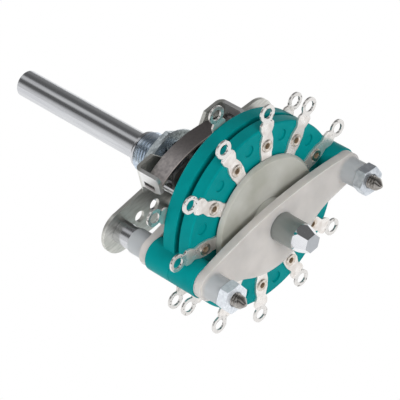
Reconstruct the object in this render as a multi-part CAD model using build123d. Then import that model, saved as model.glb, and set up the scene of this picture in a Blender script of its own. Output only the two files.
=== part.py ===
from build123d import *
import os
from math import asin, atan, cos, degrees, radians, sin

# Rotary wafer switch, six poles of two ways each, in millimetres.
# The shaft lies along Y, with its knob end towards -Y and +Z up. The tie rods lie to the left
# and right of it, along X. The origin is on the shaft's axis, in the plane of the index plate's
# front face, which is the face that seats against the back of a panel.
# Angles round the shaft are in degrees, from +X towards +Z.

# Shaft: a quarter inch rod with one flat on its underside and a six-sided point at the rear
shaft_d = 6.35
shaft_front = 52.95
shaft_rear = 37.2
shaft_front_chamfer = 0.5
shaft_flat_depth = 0.6
shaft_point_len = 3.5
shaft_point_af = 3.8
shaft_point_turn = 0.0

# Clearances
running_fit = 0.05
seat_fit = 0.03
rod_fit = 0.1

# Threaded bush, 3/8 inch over its thread
bush_d = 9.525
bush_len = 12.65
bush_chamfer = 0.4
bush_neck_d = 8.4
bush_flange_d = 10.4
bush_flange_t = 0.4
bush_flange_sunk = 0.05
bush_rivet_t = 0.6

# Retaining ring, open below, in a groove of the shaft in front of the bush
ring_t = 0.7
ring_d = 8.7
ring_groove_d = 5.2
ring_mouth = 4.6
ring_play = 0.1

# Panel nut and its toothed lock washer
panel_nut_af = 14.29
panel_nut_t = 2.4
panel_nut_front = 6.95
panel_nut_turn = 40.7
panel_nut_face_d = 13.6
lock_washer_d = 17.1
lock_washer_t = 0.7
lock_washer_ring_d = 12.4
lock_washer_teeth = 12
lock_washer_tooth_w = 1.5

# Tie rods
rod_d = 3.0
rod_pitch = 41.8
rod_head_d = 4.8
rod_past_nut = 2.9
rod_tip_len = 1.3
rod_tip_d = 1.4
rod_nut_af = 6.0
rod_nut_t = 2.4
rod_nut_face_d = 6.2
rod_nut_turns = (4.0, 9.0)

# Index plate, a steel sheet with two lugs bent to the rear
plate_t = 0.9
plate_bar_half = 5.1
plate_root_half = 5.6
plate_bulge_r = 8.6
plate_top = 12.2
plate_shoulder_in = 8.0
plate_middle_half = 5.6
plate_middle_top = 9.4
lug_out = 13.3
lug_len = 7.4
lug_low_front = 4.9
lug_low_middle = 7.8
lug_low_rear = 8.4
lug_bend_r = 0.8
lug_corner_r = 0.8
lug_slot_front = 2.6
lug_slot_rear = 5.7
lug_slot_low = 8.3
lug_slot_high = 9.7
plate_hole_d = 2.7
plate_hole_x = (10.95, 15.45)

# Stack of the switch along the tie rods, from the plate's rear face
spacer_len = 4.75
spacer_d = 5.3
strap_boss_len = 4.4
strap_boss_d = 5.8
strap_boss_foot_r = 0.6
strap_t = 2.0
front_wafer_boss_len = 2.8
front_wafer_t = 3.5
wafer_gap = 1.3
rear_wafer_t = 3.1
rear_wafer_boss_len = 3.4

# Straps that carry the wafers: a nearly straight upper edge, and a belly that hangs a little
# nearer to the left rod
strap_crown = 5.6
strap_end_half = 3.55
strap_waist = 5.1
strap_reach = 3.6
strap_belly_r = 16.4
strap_belly_drop = 9.45
strap_belly_x = 1.5
strap_belly_blend_r = 12.5

# Wafers
wafer_r = 21.7
lobe_r = 3.9
lobe_parting = 0.04
wafer_hole_r = 12.0
wafer_edge = 0.25
dimple_d = 2.6
dimple_depth = 0.4
dimple_r = 18.6

# Solder tags and their hollow rivets
tag_t = 0.5
tag_inner_r = 12.6
rivet_r = 17.55
common_inset = 0.55
tag_eye_r = 25.24
tag_finger_w = 3.0
tag_pad_w = 3.55
tag_pad_len = 2.2
tag_waist_r = 20.4
tag_waist_w = 2.6
tag_shoulder_r = 22.25
tag_shoulder_w = 3.7
tag_shoulder_len = 1.1
tag_neck_r = 23.4
tag_neck_w = 2.6
tag_eye_d = 4.1
tag_eye_hole_d = 2.4
eyelet_d = 2.0
eyelet_bore_d = 1.3
eyelet_head_d = 2.9
eyelet_head_t = 0.3
poles = 6
ways = 2

# Rotors and the bridging contacts that they carry
rotor_rim_r = 13.8
rotor_base_r = 14.5
rotor_flange_t = 0.95
rotor_collar_d = 10.0
rotor_end_play = 0.1
blade_t = 0.3
blade_w = 2.0
blade_wall = 1.1
blade_outer_r = 13.6
blade_throw_half = 6.0
blade_common_half = 19.0

# Detent: star wheel, roller, leaf spring and the cage that closes them in
step_angle = 30.0
star_r = 6.9
star_notch_r = 1.7
star_notch_depth = 0.6
star_front = 2.65
star_w = 3.7
roller_d = 4.6
spring_apex = 12.2
spring_r = 26.0
spring_t = 0.5
spring_front = 1.85
spring_rear = 6.55
spring_gap = 0.15
spring_tongue_w = 3.0
cage_front = 7.0
cage_t = 0.8
cage_half = 9.6
cage_top = 11.0
cage_bottom = 7.2
cage_corner_r = 2.0
pillar_d = 2.8
pillar_neck_d = 1.8
upper_pillar = (8.4, 5.4)
lower_pillar = (7.9, -4.6)

# Stop arm on the shaft and its two pins in the plate
arm_front = 1.65
arm_t = 0.9
arm_hub_d = 9.4
arm_w = 3.0
arm_reach = 7.5
stop_pin_d = 1.8
stop_pin_r = 6.4
stop_pin_end = 2.6

# Places worked out from the sizes above
shaft_r = shaft_d / 2
rod_x = rod_pitch / 2
rod_hole_r = rod_d / 2 + rod_fit
spacer_end = plate_t + spacer_len
front_strap_front = spacer_end + strap_boss_len
front_strap_rear = front_strap_front + strap_t
front_face = front_strap_rear + front_wafer_boss_len
front_back = front_face + front_wafer_t
rear_back = front_back + wafer_gap
rear_face = rear_back + rear_wafer_t
rear_strap_front = rear_face + rear_wafer_boss_len
rear_strap_rear = rear_strap_front + strap_t
rod_nut_front = rear_strap_rear + strap_boss_len
rod_nut_rear = rod_nut_front + rod_nut_t
rod_end = rod_nut_rear + rod_past_nut
middle = (front_back + rear_back) / 2
hub_r = wafer_hole_r - 2 * running_fit
blade_inner_r = hub_r - blade_wall - 2 * blade_t
pole_angle = 360 / poles
rear_angles = [pole_angle / 4 + pole_angle / ways * n for n in range(poles * ways)]
front_angles = [pole_angle / 2 + pole_angle * n for n in range(poles)]
dimple_angles = [pole_angle / ways * n for n in range(poles * ways)]
arm_angle = -90 + step_angle / 2


def slab(outline, y_a, y_b):
    """Extrude an outline, drawn in X and Z, between two stations along the shaft."""
    front, rear = min(y_a, y_b), max(y_a, y_b)
    return extrude(Plane.XZ.offset(-rear) * outline, rear - front)


def turned(*profile):
    """Turn a profile of (radius, station) corners about the shaft's axis."""
    return revolve(make_face(Polyline(*profile, close=True)), Axis.Y)


def at_rods(shape):
    """The shape that was made on the shaft's axis, moved to both tie rods."""
    return [Pos(side * rod_x, 0, 0) * shape for side in (1, -1)]


def around(shape, angle):
    """The shape that was made on +X, turned about the shaft to an angle."""
    return Rot(0, -angle, 0) * shape


def group(shapes):
    """Separate solids that share one node."""
    return Compound([solid for shape in shapes for solid in shape.solids()])


def polar(radius, angle):
    return radius * cos(radians(angle)), radius * sin(radians(angle))


def d_bore(radius):
    """A round hole with the flat that keys it to the shaft."""
    flat = shaft_r - shaft_flat_depth + (radius - shaft_r)
    return Circle(radius) - Pos(0, -flat - radius) * Rectangle(4 * radius, 2 * radius)


def sector(inner, outer, angle, half):
    """Part of a flat ring, to either side of an angle."""
    reach = 2 * outer
    wedge = make_face(Polyline((0, 0), polar(reach, angle - half), polar(reach, angle + half), close=True))
    return (Circle(outer) - Circle(inner)) & wedge


def hexagon(across_flats, turn=0):
    return RegularPolygon(across_flats / 2, 6, major_radius=False, rotation=turn)


def chamfered_nut(across_flats, face_d, bore_r, front, rear, turn=0):
    """A hexagon nut whose corners are turned off at both faces."""
    corner = across_flats / 2 / cos(radians(30))
    run = (corner - face_d / 2) * 0.5
    barrel = turned((0, front), (face_d / 2, front), (corner, front + run),
                    (corner, rear - run), (face_d / 2, rear), (0, rear))
    return (slab(hexagon(across_flats, turn), front, rear) & barrel) - slab(Circle(bore_r), front, rear)


def shaft():
    tip = shaft_r - shaft_front_chamfer
    rod = turned((0, -shaft_front), (tip, -shaft_front), (shaft_r, -shaft_front + shaft_front_chamfer),
                 (shaft_r, shaft_rear), (0, shaft_rear))
    point_start = shaft_rear - shaft_point_len
    slope = degrees(atan((shaft_r - shaft_point_af / 2) / shaft_point_len))
    start = Plane.XZ.offset(-point_start).rotated((180, 0, 0)) * hexagon(shaft_d, shaft_point_turn)
    point = extrude(start, shaft_point_len, taper=slope)
    rod -= slab(Circle(shaft_d), point_start, shaft_rear) - point
    groove = Circle(shaft_d) - Circle(ring_groove_d / 2)
    rod -= slab(groove, -bush_len - ring_t - ring_play - running_fit, -bush_len)
    flat = Rectangle(2 * shaft_d, shaft_r)
    return rod - slab(Pos(0, shaft_flat_depth - 1.5 * shaft_r) * flat, arm_front - running_fit, shaft_rear)


def retaining_ring():
    outline = Circle(ring_d / 2) - Circle(ring_groove_d / 2 + seat_fit)
    outline -= Pos(0, -ring_d / 2) * Rectangle(ring_mouth, ring_d)
    rear = -bush_len - running_fit
    return slab(outline, rear - ring_t, rear)


def bush():
    """The threaded bush. Its flange is sunk in the plate, and its rear end is riveted over."""
    bore = shaft_r + running_fit
    crest, neck, flange = bush_d / 2, bush_neck_d / 2, bush_flange_d / 2
    flange_end = bush_flange_sunk + bush_flange_t
    return turned((bore, -bush_len), (crest - bush_chamfer, -bush_len), (crest, -bush_len + bush_chamfer),
                  (crest, bush_flange_sunk), (flange, bush_flange_sunk), (flange, flange_end),
                  (neck, flange_end), (neck, plate_t), (flange, plate_t),
                  (flange, plate_t + bush_rivet_t / 2), (neck, plate_t + bush_rivet_t),
                  (bore, plate_t + bush_rivet_t))


def panel_nut():
    return chamfered_nut(panel_nut_af, panel_nut_face_d, bush_d / 2 + seat_fit,
                         -panel_nut_front, -panel_nut_front + panel_nut_t, panel_nut_turn)


def lock_washer():
    """A ring whose teeth reach in to the bush's thread."""
    ring_r = lock_washer_ring_d / 2
    inner = bush_d / 2 + running_fit
    tooth_len = (ring_r + lock_washer_d / 2) / 2 - inner
    tooth = Rectangle(tooth_len, lock_washer_tooth_w, align=(Align.MIN, Align.CENTER))
    outline = Circle(lock_washer_d / 2) - Circle(ring_r)
    outline += PolarLocations(inner, lock_washer_teeth) * tooth
    front = -panel_nut_front + panel_nut_t
    return slab(outline, front, front + lock_washer_t)


def index_plate():
    bar = SlotOverall(rod_pitch + 2 * plate_bar_half, 2 * plate_bar_half)
    crown = make_face(Polyline(
        (lug_out, 0), (lug_out, plate_top), (plate_shoulder_in, plate_top),
        (plate_middle_half, plate_middle_top), (-plate_middle_half, plate_middle_top),
        (-plate_shoulder_in, plate_top), (-lug_out, plate_top), (-lug_out, 0), close=True))
    root = make_face(Polyline(
        (lug_out, plate_root_half), (rod_x, plate_bar_half), (rod_x, -plate_bar_half),
        (lug_out, -plate_root_half), (-lug_out, -plate_root_half), (-rod_x, -plate_bar_half),
        (-rod_x, plate_bar_half), (-lug_out, plate_root_half), close=True))
    outline = bar + root + Circle(plate_bulge_r) + crown
    outline -= Circle(bush_neck_d / 2)
    for side in (1, -1):
        for x in plate_hole_x:
            outline -= Pos(side * x, 0) * Circle(plate_hole_d / 2)
        for x, z in (upper_pillar, lower_pillar):
            outline -= Pos(side * x, z) * Circle(pillar_neck_d / 2)
    for x, z in stop_pin_places():
        outline -= Pos(x, z) * Circle(stop_pin_d / 2)
    plate = slab(outline, 0, plate_t)
    for side in (1, -1):
        plate += lug(side)
    uprights = plate.edges().filter_by(Axis.Z)
    outer = [e for e in uprights if abs(abs(e.center().X) - lug_out) < 0.01 and abs(e.center().Y) < 0.01]
    plate = fillet(outer, lug_bend_r + plate_t)
    inside = lug_out - plate_t
    uprights = plate.edges().filter_by(Axis.Z)
    inner = [e for e in uprights
             if abs(abs(e.center().X) - inside) < 0.01 and abs(e.center().Y - plate_t) < 0.01]
    plate = fillet(inner, lug_bend_r)
    plate -= slab(Circle(bush_flange_d / 2 + seat_fit), 0, bush_flange_sunk + bush_flange_t)
    for sink in at_rods(rod_sink()):
        plate -= sink
    return plate


def lug(side):
    """One of the plate's lugs, bent to the rear, with the slot that holds the spring's end."""
    profile = make_face(Polyline(
        (0, plate_bar_half - plate_t), (plate_t, lug_low_front), (plate_t + lug_bend_r, lug_low_middle),
        (lug_slot_rear, lug_low_middle), (lug_len, lug_low_rear),
        (lug_len, plate_top - lug_corner_r), (lug_len - lug_corner_r, plate_top),
        (0, plate_top), close=True))
    profile -= Pos((lug_slot_front + lug_slot_rear) / 2, (lug_slot_low + lug_slot_high) / 2) * Rectangle(
        lug_slot_rear - lug_slot_front, lug_slot_high - lug_slot_low)
    start = side * lug_out - (plate_t if side > 0 else 0)
    return extrude(Plane.YZ.offset(start) * profile, plate_t)


def rod_sink():
    """The countersunk seat of a tie rod's head, and its hole."""
    return turned((0, 0), (rod_head_d / 2 + seat_fit, 0), (rod_hole_r, plate_t), (0, plate_t))


def tie_rod():
    r = rod_d / 2
    return turned((0, 0), (rod_head_d / 2, 0), (r, plate_t), (r, rod_end - rod_tip_len),
                  (rod_tip_d / 2, rod_end), (0, rod_end))


def spacer():
    return slab(Circle(spacer_d / 2) - Circle(rod_hole_r), plate_t, spacer_end)


def strap_outline():
    top_left = (-rod_x, strap_end_half)
    top_right = (rod_x, strap_end_half)
    low_right = (rod_x, -strap_end_half)
    low_left = (-rod_x, -strap_end_half)
    reach = rod_x + strap_reach
    edges = [ThreePointArc(top_left, (0, strap_crown), top_right),
             ThreePointArc(top_right, (reach, 0), low_right),
             Line(low_right, (0, -strap_waist)),
             Line((0, -strap_waist), low_left),
             ThreePointArc(low_left, (-reach, 0), top_left)]
    belly = Pos(strap_belly_x, strap_belly_r - strap_belly_drop) * Circle(strap_belly_r)
    belly &= Pos(0, -strap_belly_r) * Rectangle(4 * strap_belly_r, 2 * strap_belly_r)
    outline = make_face(edges) + belly
    corners = [v for v in outline.vertices()
               if v.Y < -0.01 - strap_end_half and abs(v.X) < strap_belly_r]
    return fillet(corners, strap_belly_blend_r)


def strap(plate_front, boss_end):
    """A moulded strap: a flat plate across both tie rods with a boss round each rod."""
    plate_rear = plate_front + strap_t
    plate = slab(strap_outline(), plate_front, plate_rear)
    boss_start = plate_rear if boss_end > plate_rear else plate_front
    for boss in at_rods(slab(Circle(strap_boss_d / 2), boss_start, boss_end)):
        plate += boss
    feet = [e for e in plate.edges().filter_by(GeomType.CIRCLE)
            if abs(e.center().Y - boss_start) < 0.01 and abs(e.radius - strap_boss_d / 2) < 0.01]
    plate = fillet(feet, strap_boss_foot_r)
    for hole in at_rods(slab(Circle(rod_hole_r), min(plate_front, boss_end), max(plate_rear, boss_end))):
        plate -= hole
    return plate - slab(Circle(shaft_r + running_fit), plate_front, plate_rear)


def wafer(back, face, boss_end, own_angles, rivet_circle):
    """One wafer. Its back faces the other wafer, and its tags lie on its face."""
    side = 1 if face > back else -1
    lobes = [Pos(end * rod_x, 0) * Circle(lobe_r) for end in (1, -1)]
    lobes += [Pos(end * rod_x / 2, 0) * Rectangle(rod_x, 2 * lobe_r) for end in (1, -1)]
    body = slab(Circle(wafer_r) + lobes, back, face)
    rim = wafer_r - wafer_edge
    body -= turned((rim, face), (wafer_r, face - side * wafer_edge), (wafer_r, face)) - slab(
        Sketch() + lobes, back, face)
    dimple = slab(Circle(dimple_d / 2), face - side * dimple_depth, face)
    for angle in dimple_angles:
        x, z = polar(dimple_r, angle)
        if abs(z) > lobe_r:
            body -= Pos(x, 0, z) * dimple
    for boss in at_rods(slab(Circle(lobe_r), middle + side * lobe_parting / 2, boss_end)):
        body += boss
    for hole in at_rods(slab(Circle(rod_hole_r), middle, boss_end)):
        body -= hole
    body -= slab(Circle(wafer_hole_r), back, face)
    for angle in own_angles:
        x, z = polar(rivet_circle, angle)
        body -= Pos(x, 0, z) * slab(Circle(eyelet_d / 2), back, face)
    return body


def tag(face, side):
    """A solder tag on +X: contact finger, rivet pad, waist, shoulders, neck and eye."""
    widths = [(tag_inner_r, tag_finger_w), (rivet_r - tag_pad_len, tag_finger_w),
              (rivet_r - tag_pad_len / 2, tag_pad_w), (rivet_r + tag_pad_len / 2, tag_pad_w),
              (tag_waist_r, tag_waist_w), (tag_shoulder_r - tag_shoulder_len / 2, tag_shoulder_w),
              (tag_shoulder_r + tag_shoulder_len / 2, tag_shoulder_w), (tag_neck_r, tag_neck_w),
              (tag_eye_r, tag_neck_w)]
    edge = [(r, w / 2) for r, w in widths] + [(r, -w / 2) for r, w in reversed(widths)]
    outline = make_face(Polyline(*edge, close=True)) + Pos(tag_eye_r, 0) * Circle(tag_eye_d / 2)
    outline -= Pos(tag_eye_r, 0) * Circle(tag_eye_hole_d / 2)
    outline -= Pos(rivet_r, 0) * Circle(eyelet_d / 2)
    return slab(outline, face, face + side * tag_t)


def eyelet(back, face, side):
    """A hollow rivet through tag and wafer, with a rolled head at each end."""
    head = face + side * tag_t
    top = head + side * eyelet_head_t
    foot = back - side * eyelet_head_t
    bore, body, rim = eyelet_bore_d / 2, eyelet_d / 2, eyelet_head_d / 2
    return Pos(rivet_r, 0, 0) * turned((bore, foot), (rim, foot), (rim, back), (body, back),
                                       (body, head), (rim, head), (rim, top), (bore, top))


def contact_blade(angle):
    """A bridge from the common tag's side, through both rotors, to the throw tag's side."""
    front = front_face - tag_t - running_fit
    rear = rear_face + tag_t + running_fit
    common = slab(sector(blade_inner_r, blade_outer_r, angle, blade_common_half), front - blade_t, front)
    throw = slab(sector(blade_inner_r, blade_outer_r, angle, blade_throw_half), rear, rear + blade_t)
    bar = Pos(blade_inner_r, 0) * Rectangle(2 * blade_t, blade_w, align=(Align.MIN, Align.CENTER))
    bar = around(slab(bar, front - blade_t, rear + blade_t), angle)
    return common + throw + bar


def rotor(face, strap_face, blades):
    """A rotor disc. Its hub fills the wafer's hole, and its rim covers the tags' fingers."""
    side = 1 if strap_face > face else -1
    inner = face + side * (tag_t + running_fit)
    outer = inner + side * rotor_flange_t
    collar_end = strap_face - side * rotor_end_play
    body = turned((0, middle + side * running_fit), (hub_r, middle + side * running_fit), (hub_r, inner),
                  (rotor_base_r, inner), (rotor_rim_r, outer), (rotor_collar_d / 2, outer),
                  (rotor_collar_d / 2, collar_end), (0, collar_end))
    body -= slab(d_bore(shaft_r + seat_fit), middle, collar_end)
    for blade in blades:
        body -= blade
    return body


def star_wheel():
    notches = PolarLocations(star_r + star_notch_r - star_notch_depth, 12) * Circle(star_notch_r)
    return slab(Circle(star_r) - notches - d_bore(shaft_r + seat_fit), star_front, star_front + star_w)


def stop_arm():
    blank = Rectangle(arm_reach, arm_w, align=(Align.MIN, Align.CENTER))
    outline = Circle(arm_hub_d / 2) + Rot(0, 0, arm_angle) * blank
    return slab(outline - d_bore(shaft_r + seat_fit), arm_front, arm_front + arm_t)


def stop_pin_places():
    """Where the arm's two sides meet the pins, one step apart."""
    lead = degrees(asin((arm_w / 2 + stop_pin_d / 2 + running_fit) / stop_pin_r))
    return [polar(stop_pin_r, arm_angle + lead), polar(stop_pin_r, arm_angle - step_angle - lead)]


def stop_pins():
    pin = slab(Circle(stop_pin_d / 2), 0, stop_pin_end)
    return group([Pos(x, 0, z) * pin for x, z in stop_pin_places()])


def detent_roller():
    top = spring_apex - spring_t - seat_fit
    start = star_front
    return Pos(0, 0, top - roller_d / 2) * slab(Circle(roller_d / 2), start, start + star_w)


def leaf_spring():
    """A bowed strip whose ends turn down inside the lugs and out through their slots."""
    centre = spring_apex - spring_r
    outside = lug_out - plate_t - spring_gap
    inside = outside - spring_t
    low = lug_slot_low + running_fit
    tongue_mid = low + spring_t / 2
    inner_r = spring_r - spring_t
    outer_end = centre + (spring_r ** 2 - outside ** 2) ** 0.5
    inner_end = centre + (inner_r ** 2 - inside ** 2) ** 0.5
    profile = make_face([
        ThreePointArc((-outside, outer_end), (0, spring_apex), (outside, outer_end)),
        Polyline((outside, outer_end), (outside, low), (inside, low), (inside, inner_end)),
        ThreePointArc((inside, inner_end), (0, spring_apex - spring_t), (-inside, inner_end)),
        Polyline((-inside, inner_end), (-inside, low), (-outside, low), (-outside, outer_end))])
    strip = slab(profile, spring_front, spring_rear)
    middle_y = (lug_slot_front + lug_slot_rear) / 2
    tongue_len = lug_out + spring_gap - inside
    tongue = Rectangle(tongue_len, spring_t, align=(Align.MIN, Align.CENTER))
    for side in (1, -1):
        start = inside if side > 0 else -inside - tongue_len
        place = Pos(start, tongue_mid) * tongue
        strip += slab(place, middle_y - spring_tongue_w / 2, middle_y + spring_tongue_w / 2)
    return strip


def cage_plate():
    height = cage_top + cage_bottom
    outline = Pos(0, (cage_top - cage_bottom) / 2) * RectangleRounded(2 * cage_half, height, cage_corner_r)
    outline -= Circle(shaft_r + running_fit)
    for side in (1, -1):
        for x, z in (upper_pillar, lower_pillar):
            outline -= Pos(side * x, z) * Circle(pillar_neck_d / 2)
    return slab(outline, cage_front, cage_front + cage_t)


def cage_pillars():
    """Four riveted pillars that hold the cage plate off the index plate."""
    neck, body = pillar_neck_d / 2, pillar_d / 2
    pillar = turned((0, 0), (neck, 0), (neck, plate_t), (body, plate_t), (body, cage_front),
                    (neck, cage_front), (neck, cage_front + cage_t), (0, cage_front + cage_t))
    return group([Pos(side * x, 0, z) * pillar for side in (1, -1) for x, z in (upper_pillar, lower_pillar)])


def rod_nuts():
    nuts = [chamfered_nut(rod_nut_af, rod_nut_face_d, rod_d / 2 + seat_fit, rod_nut_front, rod_nut_rear, turn)
            for turn in rod_nut_turns]
    return group([Pos(side * rod_x, 0, 0) * nut for side, nut in zip((1, -1), nuts)])


blades = [contact_blade(angle + pole_angle / 4) for angle in front_angles]
rods = at_rods(tie_rod())
spacers = at_rods(spacer())
inset = Pos(-common_inset, 0, 0)
common_eyelet = inset * eyelet(front_back, front_face, -1)
throw_eyelet = eyelet(rear_back, rear_face, 1)

nodes = {
    "shaft": shaft(),
    "retaining_ring": retaining_ring(),
    "bush": bush(),
    "panel_nut": panel_nut(),
    "lock_washer": lock_washer(),
    "index_plate": index_plate(),
    "stop_pins": stop_pins(),
    "stop_arm": stop_arm(),
    "star_wheel": star_wheel(),
    "detent_roller": detent_roller(),
    "leaf_spring": leaf_spring(),
    "cage_plate": cage_plate(),
    "cage_pillars": cage_pillars(),
    "left_tie_rod": rods[0],
    "right_tie_rod": rods[1],
    "left_spacer": spacers[0],
    "right_spacer": spacers[1],
    "tie_rod_nuts": rod_nuts(),
    "front_strap": strap(front_strap_front, spacer_end),
    "rear_strap": strap(rear_strap_front, rod_nut_front),
    "front_wafer": wafer(front_back, front_face, front_strap_rear, front_angles, rivet_r - common_inset),
    "rear_wafer": wafer(rear_back, rear_face, rear_strap_front, rear_angles, rivet_r),
    "front_rotor": rotor(front_face, front_strap_rear, blades),
    "rear_rotor": rotor(rear_face, rear_strap_front, blades),
    "contact_blades": group(blades),
    "front_eyelets": group([around(common_eyelet, angle) for angle in front_angles]),
    "rear_eyelets": group([around(throw_eyelet, angle) for angle in rear_angles]),
}
for number, angle in enumerate(front_angles, 1):
    nodes[f"common_tag_{number}"] = around(inset * tag(front_face, -1), angle)
for number, angle in enumerate(rear_angles, 1):
    nodes[f"throw_tag_{number:02d}"] = around(tag(rear_face, 1), angle)

os.makedirs("parts", exist_ok=True)
for name, shape in nodes.items():
    export_step(shape, f"parts/{name}.step")
print(len(nodes), "nodes written")
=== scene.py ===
# %% [markdown]
# # A rotary wafer switch, dressed for its portrait
# The measured model of the switch is already here: every piece has its size and its place, in
# metres, with the shaft along Y and its knob end towards -Y. This notebook gives those pieces the
# surfaces of the real ones, and models again the pieces whose charm is in fine detail, such as
# the threads, the chamfered nuts and the rolled eyelets.

# %% Load the measured model
import bpy
import math
from mathutils import Matrix, Vector


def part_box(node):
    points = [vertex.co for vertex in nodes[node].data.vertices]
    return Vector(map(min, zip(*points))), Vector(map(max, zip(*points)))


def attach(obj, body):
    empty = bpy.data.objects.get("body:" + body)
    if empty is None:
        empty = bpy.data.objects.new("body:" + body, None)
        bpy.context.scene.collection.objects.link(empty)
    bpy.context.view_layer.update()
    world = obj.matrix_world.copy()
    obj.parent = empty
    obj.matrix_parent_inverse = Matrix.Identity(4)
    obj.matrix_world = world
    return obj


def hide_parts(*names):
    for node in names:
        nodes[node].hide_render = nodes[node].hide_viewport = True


MM = 0.001
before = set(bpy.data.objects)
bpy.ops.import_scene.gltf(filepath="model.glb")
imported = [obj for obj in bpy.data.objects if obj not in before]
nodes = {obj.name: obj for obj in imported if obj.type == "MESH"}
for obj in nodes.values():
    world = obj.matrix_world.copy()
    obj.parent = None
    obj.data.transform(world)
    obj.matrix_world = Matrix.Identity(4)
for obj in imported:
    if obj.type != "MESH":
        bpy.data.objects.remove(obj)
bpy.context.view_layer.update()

# %% [markdown]
# ## Tools for the bench
# Each new piece starts as a primitive and ends as a mesh with its place baked in. The helpers
# below keep the steps short: one picks a single object, one opens it in edit mode, one bakes its
# place into its mesh, one applies a modifier, and one makes a single mesh of several. Two more
# end the work on a piece: one eases its edges and shades its curves, and one seats it in the model.


# %% Picking and editing a piece
MERGE = 0.001 * MM


def pick(piece):
    """Make one object the only selected one, and the active one."""
    bpy.ops.object.select_all(action="DESELECT")
    piece.select_set(True)
    bpy.context.view_layer.objects.active = piece


def open_whole(piece):
    """Open one object in edit mode, with all of it selected."""
    pick(piece)
    bpy.ops.object.mode_set(mode="EDIT")
    bpy.ops.mesh.select_all(action="SELECT")


def bake():
    """Move the picked object's place, turn and size into its mesh."""
    bpy.ops.object.transform_apply(location=True, rotation=True, scale=True)


def modify(piece, name, kind, **settings):
    """Give a piece a modifier with these settings, and apply it."""
    pick(piece)
    modifier = piece.modifiers.new(name, kind)
    for setting, value in settings.items():
        setattr(modifier, setting, value)
    bpy.ops.object.modifier_apply(modifier=modifier.name)


def join(first, *others):
    """Make one mesh of several."""
    pick(first)
    for other in others:
        other.select_set(True)
    bpy.ops.object.join()
    return first


# %% Finishing a piece
FIXED, TURNING = "switch_frame", "turning_shaft"


def soften(piece, width, segments=2, angle=40, smooth=35):
    """Ease the sharp edges, shade what is left of the curves smooth, and keep wide faces flat.

    Both angles are in degrees. A width of 0 leaves the edges as they are.
    """
    if width:
        modify(piece, "eased edges", "BEVEL", width=width, segments=segments,
               limit_method="ANGLE", angle_limit=math.radians(angle), use_clamp_overlap=True)
    pick(piece)
    bpy.ops.object.shade_smooth_by_angle(angle=math.radians(smooth))
    if width:
        modify(piece, "flat faces stay flat", "WEIGHTED_NORMAL", keep_sharp=True, weight=80)


def seat(piece, name, body, material, replaced):
    """Name a finished piece, give it its finish, hang it on its body, and hide the pieces it
    replaces.
    """
    piece.name = name
    piece.data.name = name
    piece.data.materials.clear()
    piece.data.materials.append(material)
    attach(piece, body)
    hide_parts(*replaced)


def length_of(node):
    """Where a measured piece starts and ends along the shaft."""
    low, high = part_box(node)
    return low.y, high.y


# %% [markdown]
# ## Finishes
# Real metal and plastic are never one flat colour. A plated nut is mottled, a rolled sheet has
# grain, and a moulding has soft clouds in it. One node group makes such an uneven mask and a
# matching surface normal. It reads the object's own coordinates, so the pattern stays on the
# piece when the piece moves, and each finish sets its own scale and strength.


# %% Working with nodes
FLOAT, VECTOR = "NodeSocketFloat", "NodeSocketVector"


def set_inputs(node, values):
    """Give some of a node's inputs their values."""
    for name, value in values.items():
        node.inputs[name].default_value = value


def new_group(name, inputs, outputs):
    """A group with these sockets, and the two nodes that stand for them inside it."""
    group = bpy.data.node_groups.new(name, "ShaderNodeTree")
    for label, value in inputs.items():
        kind = VECTOR if isinstance(value, tuple) else FLOAT
        socket = group.interface.new_socket(label, in_out="INPUT", socket_type=kind)
        socket.default_value = value
    for label, kind in outputs.items():
        group.interface.new_socket(label, in_out="OUTPUT", socket_type=kind)
    return group, group.nodes.new("NodeGroupInput"), group.nodes.new("NodeGroupOutput")


def use_group(material, group, values):
    """Place a shared group in a material, with its own values."""
    node = material.node_tree.nodes.new("ShaderNodeGroup")
    node.node_tree = group
    set_inputs(node, values)
    return node


def mix_colours(material, values):
    """A mix of two colours. A is the colour at factor 0, and B the one at factor 1."""
    node = material.node_tree.nodes.new("ShaderNodeMix")
    node.data_type = "RGBA"
    for name, colour in values.items():
        node.inputs[name].default_value = (*colour, 1)
    return node


def shader_of(material):
    """The one Principled BSDF of a finish."""
    return material.node_tree.nodes["Principled BSDF"]


# %% A shared group: uneven surface
BUMP_HEIGHT = 0.02 * MM


def make_uneven_group():
    """A group with a cloudy mask and the slightly uneven normal that goes with it."""
    group, given, made = new_group(
        "uneven surface",
        {"Stretch": (1, 1, 1), "Scale": 800, "Detail": 3, "Bump": 0.2, "Low": 0.35, "High": 0.65},
        {"Mask": FLOAT, "Normal": VECTOR})
    tree, link = group.nodes, group.links.new
    place = tree.new("ShaderNodeTexCoord")
    stretch = tree.new("ShaderNodeVectorMath")
    stretch.operation = "MULTIPLY"
    clouds = tree.new("ShaderNodeTexNoise")
    spread = tree.new("ShaderNodeMapRange")
    bump = tree.new("ShaderNodeBump")
    bump.inputs["Distance"].default_value = BUMP_HEIGHT
    link(place.outputs["Object"], stretch.inputs[0])
    link(given.outputs["Stretch"], stretch.inputs[1])
    link(stretch.outputs["Vector"], clouds.inputs["Vector"])
    link(given.outputs["Scale"], clouds.inputs["Scale"])
    link(given.outputs["Detail"], clouds.inputs["Detail"])
    link(clouds.outputs["Fac"], spread.inputs["Value"])
    link(given.outputs["Low"], spread.inputs["From Min"])
    link(given.outputs["High"], spread.inputs["From Max"])
    link(clouds.outputs["Fac"], bump.inputs["Height"])
    link(given.outputs["Bump"], bump.inputs["Strength"])
    link(spread.outputs["Result"], made.inputs["Mask"])
    link(bump.outputs["Normal"], made.inputs["Normal"])
    return group


uneven_surface = make_uneven_group()
print("group inputs:", [item.name for item in uneven_surface.interface.items_tree][:6])


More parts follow.
